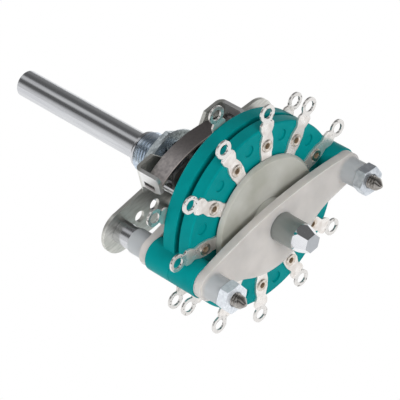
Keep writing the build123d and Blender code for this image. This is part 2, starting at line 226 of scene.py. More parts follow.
# %% A finish made from the group
def finish_of(name, light, dark, metallic, rough, scale, bump=0.2, stretch=(1, 1, 1)):
    """A Principled material between two colours and two roughnesses, told apart by the mask.

    scale is about the number of clouds to the metre.
    """
    material = bpy.data.materials.new(name)
    material.use_nodes = True
    tree, link = material.node_tree.nodes, material.node_tree.links.new
    shader = shader_of(material)
    shader.inputs["Metallic"].default_value = metallic
    uneven = use_group(material, uneven_surface, {"Stretch": stretch, "Scale": scale, "Bump": bump})
    colour = mix_colours(material, {"A": light, "B": dark})
    gloss = tree.new("ShaderNodeMapRange")
    set_inputs(gloss, {"To Min": rough[0], "To Max": rough[1]})
    link(uneven.outputs["Mask"], colour.inputs["Factor"])
    link(uneven.outputs["Mask"], gloss.inputs["Value"])
    link(colour.outputs["Result"], shader.inputs["Base Color"])
    link(gloss.outputs["Result"], shader.inputs["Roughness"])
    link(uneven.outputs["Normal"], shader.inputs["Normal"])
    return material


# %% [markdown]
# Some finishes change along a piece: the shaft is duller behind the wafers, and painted darker
# there as painted shade, but bright on its point, and the eyes of the tags are shinier, with small
# dark marks of painted reflection. A second group marks such a zone, and a helper lays it over a
# finish. The group measures a length, which is never negative, so a place is first shifted far
# enough ahead.


# %% A shared group: a zone
def make_zone_group():
    """A mask from 0 to 1 between two lengths, measured on the kept part of the shifted place."""
    group, given, made = new_group(
        "zone", {"Keep": (0, 1, 0), "Shift": (0, 0, 0), "Low": 0, "High": MM}, {"Mask": FLOAT})
    tree, link = group.nodes, group.links.new
    place = tree.new("ShaderNodeTexCoord")
    kept = tree.new("ShaderNodeVectorMath")
    kept.operation = "MULTIPLY_ADD"
    length = tree.new("ShaderNodeVectorMath")
    length.operation = "LENGTH"
    spread = tree.new("ShaderNodeMapRange")
    link(place.outputs["Object"], kept.inputs[0])
    link(given.outputs["Keep"], kept.inputs[1])
    link(given.outputs["Shift"], kept.inputs[2])
    link(kept.outputs["Vector"], length.inputs[0])
    link(length.outputs["Value"], spread.inputs["Value"])
    link(given.outputs["Low"], spread.inputs["From Min"])
    link(given.outputs["High"], spread.inputs["From Max"])
    link(spread.outputs["Result"], made.inputs["Mask"])
    return group


zone_mask = make_zone_group()

# %% Laying a zone over a finish
ALONG, ROUND, ACROSS = (0, 1, 0), (1, 0, 1), (-1, 0, 0)
AHEAD = 60 * MM
REFLECTION_SPECK_EDGE = 0.03


def in_zone(material, keep, shift, low, high, colour, rough=0.0, painted_reflection_specks=None):
    """Blend a finish to another colour, plain or specked with painted reflection, and add to its
    roughness, in a zone.
    """
    tree, link = material.node_tree.nodes, material.node_tree.links.new
    shader = shader_of(material)
    zone = use_group(material, zone_mask, {"Keep": keep, "Shift": shift, "Low": low, "High": high})
    total = tree.new("ShaderNodeMath")
    total.operation = "MULTIPLY_ADD"
    total.use_clamp = True
    total.inputs[1].default_value = rough
    blend = mix_colours(material, {"B": colour})
    link(zone.outputs["Mask"], total.inputs[0])
    link(shader.inputs["Roughness"].links[0].from_socket, total.inputs[2])
    link(total.outputs["Value"], shader.inputs["Roughness"])
    link(zone.outputs["Mask"], blend.inputs["Factor"])
    link(shader.inputs["Base Color"].links[0].from_socket, blend.inputs["A"])
    link(blend.outputs["Result"], shader.inputs["Base Color"])
    if painted_reflection_specks:
        scale, threshold, dark = painted_reflection_specks
        reflection_spot_mask = use_group(material, uneven_surface,
                          {"Scale": scale, "Low": threshold, "High": threshold + REFLECTION_SPECK_EDGE})
        reflection_spotted = mix_colours(material, {"A": colour, "B": dark})
        link(reflection_spot_mask.outputs["Mask"], reflection_spotted.inputs["Factor"])
        link(reflection_spotted.outputs["Result"], blend.inputs["B"])


def behind(material, start, end, colour, rough=0.0):
    """A zone behind a station of the shaft, where it starts, up to where it is whole."""
    in_zone(material, ALONG, (0, AHEAD, 0), AHEAD + start, AHEAD + end, colour, rough)


# %% [markdown]
# The metals differ in how they were made. The shaft is turned and plated bright, the hardware is
# zinc plated with a faint blue, the plate is rolled sheet, and the spring is dark tempered strip.
# Of the two rod nuts, the left one is paler and more matt, as painted light.

# %% The metals
turned_steel = finish_of("turned steel", light=(0.70, 0.71, 0.73), dark=(0.60, 0.61, 0.64),
                         metallic=1.0, rough=(0.14, 0.22), scale=1500, bump=0.05,
                         stretch=(1, 0.06, 1))
dark_steel = finish_of("oiled small parts", light=(0.30, 0.30, 0.30), dark=(0.18, 0.18, 0.18),
                       metallic=1.0, rough=(0.35, 0.50), scale=900)
zinc_bush = finish_of("zinc plated bush", light=(0.68, 0.76, 0.86), dark=(0.50, 0.58, 0.68),
                      metallic=1.0, rough=(0.14, 0.24), scale=900, bump=0.02)
zinc_wide = finish_of("zinc plated panel nut", light=(0.62, 0.68, 0.71), dark=(0.40, 0.45, 0.47),
                      metallic=0.85, rough=(0.22, 0.38), scale=1100, bump=0.08)
# Painted light: a paler, more matt copy of the rod nuts' zinc, for the left nut.
zinc_left_painted_lighter = finish_of("zinc plated nut painted pale", light=(0.86, 0.90, 0.95), dark=(0.70, 0.74, 0.79),
                      metallic=0.45, rough=(0.30, 0.46), scale=1400, bump=0.10)
zinc_right = finish_of("zinc plated nut", light=(0.74, 0.78, 0.83), dark=(0.54, 0.58, 0.63),
                       metallic=0.92, rough=(0.32, 0.42), scale=900, bump=0.02)
zinc_rod = finish_of("zinc plated rod", light=(0.46, 0.44, 0.42), dark=(0.28, 0.26, 0.24),
                     metallic=1.0, rough=(0.16, 0.26), scale=900, bump=0.03)
rolled_sheet = finish_of("rolled sheet", light=(0.74, 0.74, 0.70), dark=(0.60, 0.60, 0.56),
                         metallic=0.94, rough=(0.36, 0.50), scale=420, bump=0.05,
                         stretch=(1, 1, 4))
star_steel = finish_of("oiled steel", light=(0.16, 0.16, 0.16), dark=(0.08, 0.08, 0.08),
                       metallic=1.0, rough=(0.35, 0.55), scale=600)
spring_steel = finish_of("spring steel", light=(0.54, 0.50, 0.49), dark=(0.42, 0.39, 0.39),
                         metallic=1.0, rough=(0.30, 0.42), scale=1600, bump=0.08)
silver_strip = finish_of("silvered strip", light=(0.91, 0.88, 0.85), dark=(0.76, 0.71, 0.67),
                         metallic=0.75, rough=(0.26, 0.40), scale=700, bump=0.3)
eyelet_head = finish_of("tinned eyelet", light=(0.84, 0.78, 0.72), dark=(0.60, 0.52, 0.44),
                        metallic=1.0, rough=(0.25, 0.40), scale=1500)
eyelet_bore = finish_of("browned bore", light=(0.72, 0.58, 0.42), dark=(0.40, 0.28, 0.17),
                        metallic=0.5, rough=(0.40, 0.60), scale=1800)

# %% [markdown]
# The zones follow. On the shaft, the rear end is duller and painted darker as painted shade, its
# point is bright, and the end face is dull again. On the spring, the strip is painted darker
# towards -X as painted shade, and its rear edge gets a painted highlight. The plate's lugs are
# painted paler than its face as a painted highlight, and on the tags only the eyes are specked,
# with painted dark reflections.

# %% Zones of the metals
# Each pair says where a zone starts and where it is whole. The first three are stations behind the
# plate's front, the next two are lengths before a piece's rear end, and the others are distances
# from a line across X, where the spring's painted shade starts, and from the shaft's axis.
SHAFT_DULL_PAINTED_SHADE = (22 * MM, 26 * MM)
SHAFT_POINT = (33.9 * MM, 34.0 * MM)
LUG_PAINTED_PALE = (1.2 * MM, 2.0 * MM)
SHAFT_FACE = (0.05 * MM, 0.03 * MM)
SPRING_PAINTED_HIGHLIGHT = (0.25 * MM, 0.1 * MM)
SPRING_SHADE_FROM, SPRING_PAINTED_SHADE = 20 * MM, (14 * MM, 28 * MM)
EYE_ZONE = (22.8 * MM, 23.2 * MM)
shaft_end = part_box("shaft")[1].y
shaft_steel = turned_steel.copy()
shaft_steel.name = "turned steel with a dull, shade-painted rear end"
# The rear end's darker colour is painted shade; its added roughness is a real duller finish.
behind(shaft_steel, *SHAFT_DULL_PAINTED_SHADE, colour=(0.40, 0.43, 0.42), rough=0.30)
behind(shaft_steel, *SHAFT_POINT, colour=(0.82, 0.83, 0.86), rough=-0.34)
behind(shaft_steel, shaft_end - SHAFT_FACE[0], shaft_end - SHAFT_FACE[1],
       colour=(0.50, 0.52, 0.55), rough=0.30)
# The dark dots on the tags' eyes are painted reflections.
in_zone(silver_strip, ROUND, (0, 0, 0), *EYE_ZONE, colour=(0.76, 0.74, 0.72), rough=-0.30,
        painted_reflection_specks=(1500, 0.61, (0.26, 0.25, 0.24)))
# Painted highlight: the plate's lugs are painted paler than its face.
behind(rolled_sheet, *LUG_PAINTED_PALE, colour=(0.90, 0.90, 0.90))
spring_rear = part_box("leaf_spring")[1].y
# Painted shade: the spring is painted darker towards -X.
in_zone(spring_steel, ACROSS, (SPRING_SHADE_FROM, 0, 0), *SPRING_PAINTED_SHADE, colour=(0.16, 0.14, 0.14))
# Painted highlight: a bright line along the spring's rear edge.
behind(spring_steel, spring_rear - SPRING_PAINTED_HIGHLIGHT[0], spring_rear - SPRING_PAINTED_HIGHLIGHT[1],
       colour=(0.85, 0.76, 0.72))
print("the spring's bright edge is", round(spring_rear / MM, 2), "mm behind the plate's front")

# %% [markdown]
# The mouldings need light inside them. Natural nylon is milky, so a little of the light goes in
# and comes out again a millimetre away. The teal of the wafers is denser, and only its edges glow.
# The straps' bosses, at both ends of the stack, are painted a little greyer and bluer than the
# rest, as painted light from the teal and the rods that show through them.


# %% The mouldings
def mould(material, inside, reach, shine):
    """Let light wander inside a moulding, and set how much its skin mirrors."""
    set_inputs(shader_of(material), {
        "Subsurface Weight": inside, "Subsurface Radius": (1.0, 0.95, 0.85),
        "Subsurface Scale": reach, "Specular IOR Level": shine})
    return material


strap_nylon = mould(
    finish_of("natural nylon", light=(0.635, 0.605, 0.58), dark=(0.53, 0.51, 0.49),
              metallic=0.0, rough=(0.30, 0.46), scale=130, bump=0.25),
    inside=0.75, reach=2.2 * MM, shine=0.35)
rotor_nylon = mould(
    finish_of("rotor nylon", light=(0.53, 0.53, 0.49), dark=(0.405, 0.405, 0.355),
              metallic=0.0, rough=(0.28, 0.40), scale=130, bump=0.20),
    inside=0.6, reach=1.8 * MM, shine=0.40)
teal_plastic = mould(
    finish_of("teal moulding", light=(0.0, 0.270, 0.276), dark=(0.0, 0.240, 0.246),
              metallic=0.0, rough=(0.36, 0.48), scale=220, bump=0.25),
    inside=0.10, reach=0.5 * MM, shine=0.06)
# Painted light: the bosses' grey-blue tint stands for teal and rod showing through the nylon.
BOSS_PAINTED_TINT = (4.4 * MM, 3.6 * MM)
stack_front, stack_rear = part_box("front_strap")[0].y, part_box("rear_strap")[1].y
stack_middle, stack_half = (stack_front + stack_rear) / 2, (stack_rear - stack_front) / 2
in_zone(strap_nylon, ALONG, (0, -stack_middle, 0), stack_half - BOSS_PAINTED_TINT[0],
        stack_half - BOSS_PAINTED_TINT[1], colour=(0.46, 0.48, 0.495))
print("materials:", len(bpy.data.materials))

# %% [markdown]
# ## Turning on the lathe
# The shaft, the bush, the rods and the eyelets are turned pieces. Half of a section is drawn with
# extrudes, starting from a plane that is merged to a single point, and it is then spun once round
# its axis. A spin gives even rings of faces, which a bevel likes.


# %% A lathe
def start_point(x, y):
    """A plane that is merged to a single point and moved to its start, open in edit mode."""
    bpy.ops.object.select_all(action="DESELECT")
    bpy.ops.mesh.primitive_plane_add(size=MM)
    piece = bpy.context.object
    bpy.ops.object.mode_set(mode="EDIT")
    bpy.ops.mesh.merge(type="CENTER")
    bpy.ops.transform.translate(value=(x, y, 0))
    return piece


def extrude(step):
    """Draw a line from the last point."""
    bpy.ops.mesh.extrude_region_move(TRANSFORM_OT_translate={"value": step})


def close_skin(merge=MERGE):
    """Merge the open mesh into one skin that faces outwards, and leave edit mode."""
    bpy.ops.mesh.select_all(action="SELECT")
    bpy.ops.mesh.remove_doubles(threshold=merge)
    bpy.ops.mesh.normals_make_consistent(inside=False)
    bpy.ops.object.mode_set(mode="OBJECT")


def lathe(profile, steps=96, axis_x=0.0):
    """Draw (radius, station) corners with extrudes, then spin them round an axis along Y."""
    piece = start_point(axis_x + profile[0][0], profile[0][1])
    for (r_a, y_a), (r_b, y_b) in zip(profile, profile[1:]):
        extrude((r_b - r_a, y_b - y_a, 0))
    bpy.ops.mesh.select_all(action="SELECT")
    bpy.ops.mesh.spin(steps=steps, angle=math.tau, center=(axis_x, 0, 0), axis=(0, 1, 0))
    close_skin()
    return piece


# %% [markdown]
# ## Cutting
# A Boolean takes another shape away, or keeps only what is inside it. A bisect plane takes away
# all that is on one side of it, as a mill would, and fills the cut.


# %% Cutting tools
def carve(piece, tool, how):
    """Apply a Boolean with another mesh, and take the other mesh away."""
    modify(piece, "cut", "BOOLEAN", operation=how, solver="EXACT", object=tool)
    bpy.data.objects.remove(tool)


def mill(piece, point, normal):
    """Cut away what lies outside a plane, and close the cut."""
    open_whole(piece)
    bpy.ops.mesh.bisect(plane_co=point, plane_no=normal, use_fill=True, clear_outer=True)
    bpy.ops.object.mode_set(mode="OBJECT")


def block(sides, middle, twist=0.0):
    """A box with its middle at a place, twisted round X."""
    bpy.ops.mesh.primitive_cube_add(size=1, location=middle)
    piece = bpy.context.object
    piece.scale = sides
    piece.rotation_euler.x = twist
    bake()
    return piece


# %% [markdown]
# The shaft has a turned chamfer at the knob end, a groove for its retaining ring and a six-sided
# point at the rear. The round part comes off the lathe. The point is milled in six cuts, and a
# block takes the flat away from the underside.

# %% The shaft
SHAFT_CHAMFER = 0.5 * MM
SHAFT_FLAT_START = 1.6 * MM
SHAFT_FLAT_DEPTH = 0.6 * MM
GROOVE_R = 2.6 * MM
GROOVE_FRONT, GROOVE_REAR = -13.5 * MM, -12.65 * MM
POINT_LENGTH = 3.5 * MM
POINT_HALF = 1.9 * MM
shaft_front, shaft_rear = length_of("shaft")
shaft_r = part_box("shaft")[1].x
shaft = lathe([(0, shaft_front), (shaft_r - SHAFT_CHAMFER, shaft_front),
               (shaft_r, shaft_front + SHAFT_CHAMFER), (shaft_r, GROOVE_FRONT),
               (GROOVE_R, GROOVE_FRONT), (GROOVE_R, GROOVE_REAR), (shaft_r, GROOVE_REAR),
               (shaft_r, shaft_rear), (0, shaft_rear)])
point_start = shaft_rear - POINT_LENGTH
point_slope = math.atan2(shaft_r - POINT_HALF, POINT_LENGTH)
for side in range(6):
    turn = math.radians(30 + 60 * side)
    outward = Vector((math.cos(turn), 0, math.sin(turn)))
    normal = outward * math.cos(point_slope) + Vector((0, math.sin(point_slope), 0))
    mill(shaft, outward * shaft_r + Vector((0, point_start, 0)), normal)
flat_len = shaft_rear - SHAFT_FLAT_START + MM
flat_middle = (0, SHAFT_FLAT_START + flat_len / 2, -1.5 * shaft_r + SHAFT_FLAT_DEPTH)
carve(shaft, block((3 * shaft_r, flat_len, shaft_r), flat_middle), "DIFFERENCE")
soften(shaft, width=0.08 * MM, smooth=14)
seat(shaft, "bright_shaft", TURNING, shaft_steel, ["shaft"])
print("shaft", round((shaft_rear - shaft_front) / MM, 1), "mm long")

# %% [markdown]
# ## Cutting threads
# A thread is one tooth of its section carried round and along the axis, which is just what the
# Screw modifier does. At both ends of a real thread the crest fades into the chamfer, so the
# points there are drawn in until they lie on the core.


# %% A thread
# The tooth's flanks and its crest are shares of the pitch.
TOOTH_FLANK, TOOTH_CREST = 0.45, 0.1
TOOTH_SUNK = 0.01 * MM
THREAD_MERGE = 0.002 * MM


def thread(core, crest, pitch, front, rear, axis_x=0.0, steps=48):
    """One tooth, screwed along Y and faded out at both ends."""
    piece = start_point(core, front - pitch)
    extrude((crest - core, TOOTH_FLANK * pitch, 0))
    extrude((0, TOOTH_CREST * pitch, 0))
    extrude((core - crest, TOOTH_FLANK * pitch, 0))
    bpy.ops.object.mode_set(mode="OBJECT")
    modify(piece, "screw", "SCREW", axis="Y", screw_offset=pitch,
           iterations=math.ceil((rear - front) / pitch) + 1, steps=steps, render_steps=steps,
           use_merge_vertices=True, merge_threshold=MERGE)
    for vertex in piece.data.vertices:
        x, y, z = vertex.co
        y = min(max(y, front), rear)
        radius = math.hypot(x, z)
        fade = core + min(y - front, rear - y)
        drawn_in = min(radius, fade) / radius
        vertex.co = (x * drawn_in, y, z * drawn_in)
    bpy.ops.transform.translate(value=(axis_x, 0, 0))
    bake()
    open_whole(piece)
    close_skin(THREAD_MERGE)
    soften(piece, width=0)
    return piece


# %% [markdown]
# The bush is turned, bored for the shaft, and threaded from its front almost to the plate. Its
# core is a little under the root of the thread, and the tooth is sunk in it, so there is no gap.

# %% The threaded bush
BUSH_PITCH = 25.4 / 32 * MM
BUSH_R = 4.7625 * MM
BUSH_NECK_R = 4.2 * MM
BUSH_FLANGE_R = 5.2 * MM
BUSH_FLANGE = (0.05 * MM, 0.45 * MM)
BUSH_RIVET_T = 0.6 * MM
BUSH_RIVET_EDGE = 0.3 * MM
BUSH_CHAMFER = 0.1 * MM
BUSH_PLAY = 0.05 * MM
THREAD_DEPTH = 0.42 * MM
THREAD_START = 0.05 * MM
THREAD_END = -0.6 * MM
bush_front, bush_rear = length_of("bush")
bush_bore = shaft_r + BUSH_PLAY
plate_rear = bush_rear - BUSH_RIVET_T
bush_core = BUSH_R - THREAD_DEPTH
bush = lathe([(bush_bore, bush_front), (bush_core - BUSH_CHAMFER, bush_front),
              (bush_core, bush_front + BUSH_CHAMFER), (bush_core, THREAD_END),
              (BUSH_R, THREAD_END), (BUSH_R, BUSH_FLANGE[0]), (BUSH_FLANGE_R, BUSH_FLANGE[0]),
              (BUSH_FLANGE_R, BUSH_FLANGE[1]), (BUSH_NECK_R, BUSH_FLANGE[1]),
              (BUSH_NECK_R, plate_rear), (BUSH_FLANGE_R, plate_rear),
              (BUSH_FLANGE_R, plate_rear + BUSH_RIVET_EDGE), (BUSH_NECK_R, bush_rear),
              (bush_bore, bush_rear), (bush_bore, bush_front)])
soften(bush, width=0.06 * MM)
bush_thread = thread(bush_core - TOOTH_SUNK, BUSH_R, BUSH_PITCH, bush_front + THREAD_START,
                     THREAD_END)
seat(join(bush, bush_thread), "threaded_bush", FIXED, zinc_bush, ["bush"])
print("bush thread:", round(BUSH_PITCH / MM, 3), "mm pitch")

# %% [markdown]
# Each tie rod is threaded only at its rear end, where its nut and its bare tip show.

# %% The tie rods
ROD_PITCH = 0.62 * MM
ROD_R = 1.5 * MM
ROD_CORE_R = 1.14 * MM
ROD_HEAD_R = 2.4 * MM
ROD_CONE_R = 1.4 * MM
ROD_TIP_R = 0.35 * MM
ROD_TIP = 1.15 * MM
ROD_THREAD = 9.0 * MM
ROD_RUN_IN, ROD_RUN_OUT = 0.3 * MM, 0.2 * MM


def rod_axis(node):
    """The place of a tie rod's axis along X."""
    low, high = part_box(node)
    return (low.x + high.x) / 2


rod_front, rod_rear = length_of("left_tie_rod")
thread_start, cone_start = rod_rear - ROD_THREAD, rod_rear - ROD_TIP
for node, name in (("left_tie_rod", "left_threaded_rod"), ("right_tie_rod", "right_threaded_rod")):
    axis_x = rod_axis(node)
    rod = lathe([(0, rod_front), (ROD_HEAD_R, rod_front), (ROD_R, plate_rear),
                 (ROD_R, thread_start), (ROD_CORE_R, thread_start + ROD_RUN_IN),
                 (ROD_CORE_R, cone_start - ROD_RUN_OUT), (ROD_CONE_R, cone_start),
                 (ROD_TIP_R, rod_rear), (0, rod_rear)], steps=48, axis_x=axis_x)
    soften(rod, width=0.05 * MM)
    rod_thread = thread(ROD_CORE_R - TOOTH_SUNK, ROD_R, ROD_PITCH, thread_start, cone_start,
                        axis_x=axis_x, steps=32)
    seat(join(rod, rod_thread), name, FIXED, zinc_rod, [node])

# %% [markdown]
# ## Nuts
# A nut is a six-sided prism whose corners are turned away at both faces. The prism is a cylinder
# primitive with six sides. A turned barrel, kept by a Boolean, rounds its corners, and a second
# Boolean bores it. The bevel then breaks the edges that a wrench would meet.


# %% A nut
BARREL_SLOPE = 0.5
BARREL_PROUD = 0.05 * MM
BORE_LEAD = 0.3 * MM


def nut(across_flats, face_r, bore_r, front, rear, corner_angle, axis_x=0.0):
    """A hexagon nut along Y, chamfered at both faces and at both mouths of its bore."""
    corner = across_flats / 2 / math.cos(math.radians(30))
    bpy.ops.object.select_all(action="DESELECT")
    bpy.ops.mesh.primitive_cylinder_add(vertices=6, radius=corner, depth=rear - front,
                                        location=(axis_x, (front + rear) / 2, 0),
                                        rotation=(math.pi / 2, math.radians(30 - corner_angle), 0))
    piece = bpy.context.object
    bake()
    run = (corner - face_r) * BARREL_SLOPE
    wide = corner + BARREL_PROUD
    barrel = lathe([(0, front - run), (face_r, front), (wide, front + run), (wide, rear - run),
                    (face_r, rear), (0, rear + run)], axis_x=axis_x)
    carve(piece, barrel, "INTERSECT")
    mouth = bore_r + 2 * BORE_LEAD
    bore = lathe([(0, front - BORE_LEAD), (mouth, front - BORE_LEAD), (bore_r, front + BORE_LEAD),
                  (bore_r, rear - BORE_LEAD), (mouth, rear + BORE_LEAD), (0, rear + BORE_LEAD)],
                 steps=64, axis_x=axis_x)
    carve(piece, bore, "DIFFERENCE")
    return piece


# %% The panel nut and the tie rod nuts
# The corner values say, in degrees round the axis, where one corner of a nut stands.
PANEL_NUT_FLATS = 14.29 * MM
PANEL_NUT_FACE_R = 6.8 * MM
PANEL_NUT_BORE_R = BUSH_R - 0.1 * MM
PANEL_NUT_CORNER = 40.7
ROD_NUT_FLATS = 6.0 * MM
ROD_NUT_FACE_R = 3.1 * MM
ROD_NUT_BORE_R = ROD_R - 0.05 * MM
ROD_NUT_CORNERS = {"left_tie_rod": 4, "right_tie_rod": 9}
panel_nut = nut(PANEL_NUT_FLATS, PANEL_NUT_FACE_R, PANEL_NUT_BORE_R, *length_of("panel_nut"),
                PANEL_NUT_CORNER)
soften(panel_nut, width=0.08 * MM)
seat(panel_nut, "chamfered_panel_nut", FIXED, zinc_wide, ["panel_nut"])
rod_nuts = join(*[nut(ROD_NUT_FLATS, ROD_NUT_FACE_R, ROD_NUT_BORE_R, *length_of("tie_rod_nuts"),
                      corner_angle, rod_axis(node))
                  for node, corner_angle in ROD_NUT_CORNERS.items()])
soften(rod_nuts, width=0.05 * MM)
seat(rod_nuts, "chamfered_rod_nuts", FIXED, zinc_left_painted_lighter, ["tie_rod_nuts"])
rod_nuts.data.materials.append(zinc_right)
# The left nut's faces take the paler copy, which is painted light.
for face in rod_nuts.data.polygons:
    face.material_index = 1 if face.center.x < 0 else 0

# %% [markdown]
# The lock washer's teeth are twisted out of its plane, so that they bite the panel and the nut.
# Each tooth is a cube, squeezed and turned on its own length, then swung round to its place.

# %% The lock washer
WASHER_RING_R = 6.2 * MM
TOOTH_COUNT = 12
TOOTH_FROM = BUSH_R + 0.05 * MM
TOOTH_TO = WASHER_RING_R + 0.4 * MM
TOOTH_W = 1.5 * MM
TOOTH_THICKNESS_SHARE = 0.6
TOOTH_TWIST = math.radians(14)
washer_low, washer_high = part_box("lock_washer")
washer_r = (washer_high.z - washer_low.z) / 2
washer = lathe([(WASHER_RING_R, washer_low.y), (washer_r, washer_low.y), (washer_r, washer_high.y),
                (WASHER_RING_R, washer_high.y), (WASHER_RING_R, washer_low.y)])
tooth_sides = (TOOTH_TO - TOOTH_FROM, TOOTH_THICKNESS_SHARE * (washer_high.y - washer_low.y),
               TOOTH_W)
tooth_middle = ((TOOTH_FROM + TOOTH_TO) / 2, (washer_low.y + washer_high.y) / 2, 0)
teeth = []
for number in range(TOOTH_COUNT):
    tooth = block(tooth_sides, tooth_middle, TOOTH_TWIST)
    tooth.data.transform(Matrix.Rotation(math.tau * number / TOOTH_COUNT, 4, "Y"))
    teeth.append(tooth)
washer = join(washer, *teeth)
soften(washer, width=0.06 * MM)
seat(washer, "toothed_washer", FIXED, zinc_wide, ["lock_washer"])

# %% [markdown]
# ## Softened copies
# The straps, the wafers, the plate and the tags have the right shape already, but their edges are
# as sharp as a drawing. A copy of each is merged into one skin, its flat triangles are dissolved,
# and a bevel rounds its edges as a mould or a press would leave them.


# %% Copying a measured piece
def skin_of(node):
    """A copy of a measured piece, merged into one skin of flat faces."""
    piece = nodes[node].copy()
    piece.data = nodes[node].data.copy()
    for key in list(piece.keys()):
        del piece[key]
    piece.parent = None
    bpy.context.scene.collection.objects.link(piece)
    pick(piece)
    bpy.ops.mesh.customdata_custom_splitnormals_clear()
    open_whole(piece)
    bpy.ops.mesh.remove_doubles(threshold=MERGE)
    bpy.ops.mesh.dissolve_limited(angle_limit=math.radians(0.5))
    bpy.ops.object.mode_set(mode="OBJECT")
    return piece


def softened_copy(node, name, body, material, width, segments=2):
    """A copy of a measured piece with eased edges."""
    piece = skin_of(node)
    soften(piece, width, segments)
    seat(piece, name, body, material, [node])


# %% [markdown]
# The two straps are natural nylon, moulded with generous radii. The wafers are teal, and the
# rotors that turn in them are a greyer nylon.

# %% Straps, wafers and rotors
# Each row: measured piece, new name, body, finish, slot, bevel in millimetres, its segments.
MOULDED = (("strap", "nylon_strap", FIXED, strap_nylon, "natural_nylon", 0.45, 4),
           ("wafer", "teal_wafer", FIXED, teal_plastic, "teal_plastic", 0.12, 2),
           ("rotor", "rotor_disc", TURNING, rotor_nylon, "rotor_nylon", 0.15, 2))
for node, name, body, material, slot, width, segments in MOULDED:
    for end in ("front_", "rear_"):
        softened_copy(end + node, end + name, body, material, width * MM, segments)

# %% The ring, the sheet metal, the spring and the spacers
METAL = (("retaining_ring", "shaft_retaining_ring", TURNING, turned_steel, "turned_steel", 0.05),
         ("index_plate", "bent_index_plate", FIXED, rolled_sheet, "plated_sheet", 0.16),
         ("cage_plate", "rear_cage_plate", FIXED, star_steel, "plated_sheet", 0.08),
         ("leaf_spring", "bowed_leaf_spring", FIXED, spring_steel, "spring_steel", 0.17),
         ("left_spacer", "left_steel_spacer", FIXED, turned_steel, "zinc_plated_rod", 0.15),
         ("right_spacer", "right_steel_spacer", FIXED, turned_steel, "zinc_plated_rod", 0.15))
for node, name, body, material, slot, width in METAL:
    softened_copy(node, name, body, material, width * MM)

# %% [markdown]
# The solder tags are stamped from thin silvered strip. All eighteen have one shape. The press
# leaves their eyes almost as round as wire, so the edges there get a wide, low bevel: the strip is
# stretched across its thickness, bevelled, and squeezed back. The stem's edges get only a share
# of that bevel.

# %% The tags
EYE_ROUND = 0.52 * MM
EYE_STRETCH = 2.2
EYE_REACH = 4.48 * MM
STEM_SHARE = 0.40


def solder_tag(node, name):
    """A copy of a tag with a round eye and a crisper stem."""
    piece = skin_of(node)
    low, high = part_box(node)
    middle = Vector((0, (low.y + high.y) / 2, 0))
    stretch = (Matrix.Translation(middle) @ Matrix.Scale(EYE_STRETCH, 4, Vector((0, 1, 0)))
               @ Matrix.Translation(-middle))
    piece.data.transform(stretch)
    pick(piece)
    # The edges that this marks as sharp are the ones to bevel.
    bpy.ops.object.shade_smooth_by_angle(angle=math.radians(40))
    reach = [math.hypot(vertex.co.x, vertex.co.z) for vertex in piece.data.vertices]
    eye_from = max(reach) - EYE_REACH
    share = piece.data.attributes.new("bevel_weight_edge", "FLOAT", "EDGE")
    for edge in piece.data.edges:
        if edge.use_edge_sharp:
            in_eye = all(reach[end] > eye_from for end in edge.vertices)
            share.data[edge.index].value = 1.0 if in_eye else STEM_SHARE
    modify(piece, "round eye", "BEVEL", width=EYE_ROUND, segments=4, limit_method="WEIGHT",
           use_clamp_overlap=True)
    piece.data.transform(stretch.inverted())
    soften(piece, width=0)
    seat(piece, name, FIXED, silver_strip, [node])


for number in range(1, 7):
    solder_tag(f"common_tag_{number}", f"common_lug_{number}")
for number in range(1, 13):
    solder_tag(f"throw_tag_{number:02d}", f"throw_lug_{number:02d}")

# %% [markdown]
# A hollow rivet is rolled over at both ends, so each rim is a soft torus round a dark bore. One is
# turned on the lathe for each wafer, copied round the circle of rivets, and its bore is browned.

# %% The eyelets
REAR_RIVET_CIRCLE = 17.55 * MM
FRONT_RIVET_CIRCLE = 17.0 * MM
EYELET_BORE = 0.65 * MM
EYELET_R = 1.0 * MM
EYELET_RIM = 1.45 * MM
EYELET_HEAD = 0.3 * MM
# A rim is highest at its crown. From there it falls to the bore and to its outside, by a share
# of the head's height.
FOOT_CROWN, HEAD_CROWN = 1.05 * MM, 1.26 * MM
FOOT_DIP, HEAD_DIP, RIM_DROP = 0.3, 0.4, 0.5
BROWNED = 1.05 * EYELET_BORE


def eyelets(node, name, angles, circle, side):
    """Rolled rivets round one wafer. side is +1 where their heads face the rear."""
    front, rear = length_of(node)
    top, foot = (rear, front) if side > 0 else (front, rear)
    roll = side * EYELET_HEAD
    first = lathe([(EYELET_BORE, foot + FOOT_DIP * roll), (FOOT_CROWN, foot),
                   (EYELET_RIM, foot + RIM_DROP * roll), (EYELET_RIM, foot + roll),
                   (EYELET_R, foot + roll), (EYELET_R, top - roll), (EYELET_RIM, top - roll),
                   (EYELET_RIM, top - RIM_DROP * roll), (HEAD_CROWN, top),
                   (EYELET_BORE, top - HEAD_DIP * roll), (EYELET_BORE, foot + FOOT_DIP * roll)],
                  steps=28)
    soften(first, width=0.05 * MM, angle=25)
    first.data.materials.append(eyelet_head)
    first.data.materials.append(eyelet_bore)
    for face in first.data.polygons:
        outward = Vector((face.center.x, 0, face.center.z))
        in_bore = outward.dot(face.normal) < 0 and outward.length < BROWNED
        face.material_index = 1 if in_bore else 0
    made = []
    for angle in angles:
        copy = first.copy()
        copy.data = first.data.copy()
        bpy.context.scene.collection.objects.link(copy)
        turn = math.radians(angle)
        place = Vector((circle * math.cos(turn), 0, circle * math.sin(turn)))
        copy.data.transform(Matrix.Translation(place))
        made.append(copy)
    bpy.data.objects.remove(first)
    piece = join(*made)
    piece.name = name
    piece.data.name = name
    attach(piece, FIXED)
    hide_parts(node)


eyelets("front_eyelets", "front_rolled_eyelets", range(30, 360, 60), FRONT_RIVET_CIRCLE, side=-1)
eyelets("rear_eyelets", "rear_rolled_eyelets", range(15, 360, 30), REAR_RIVET_CIRCLE, side=1)

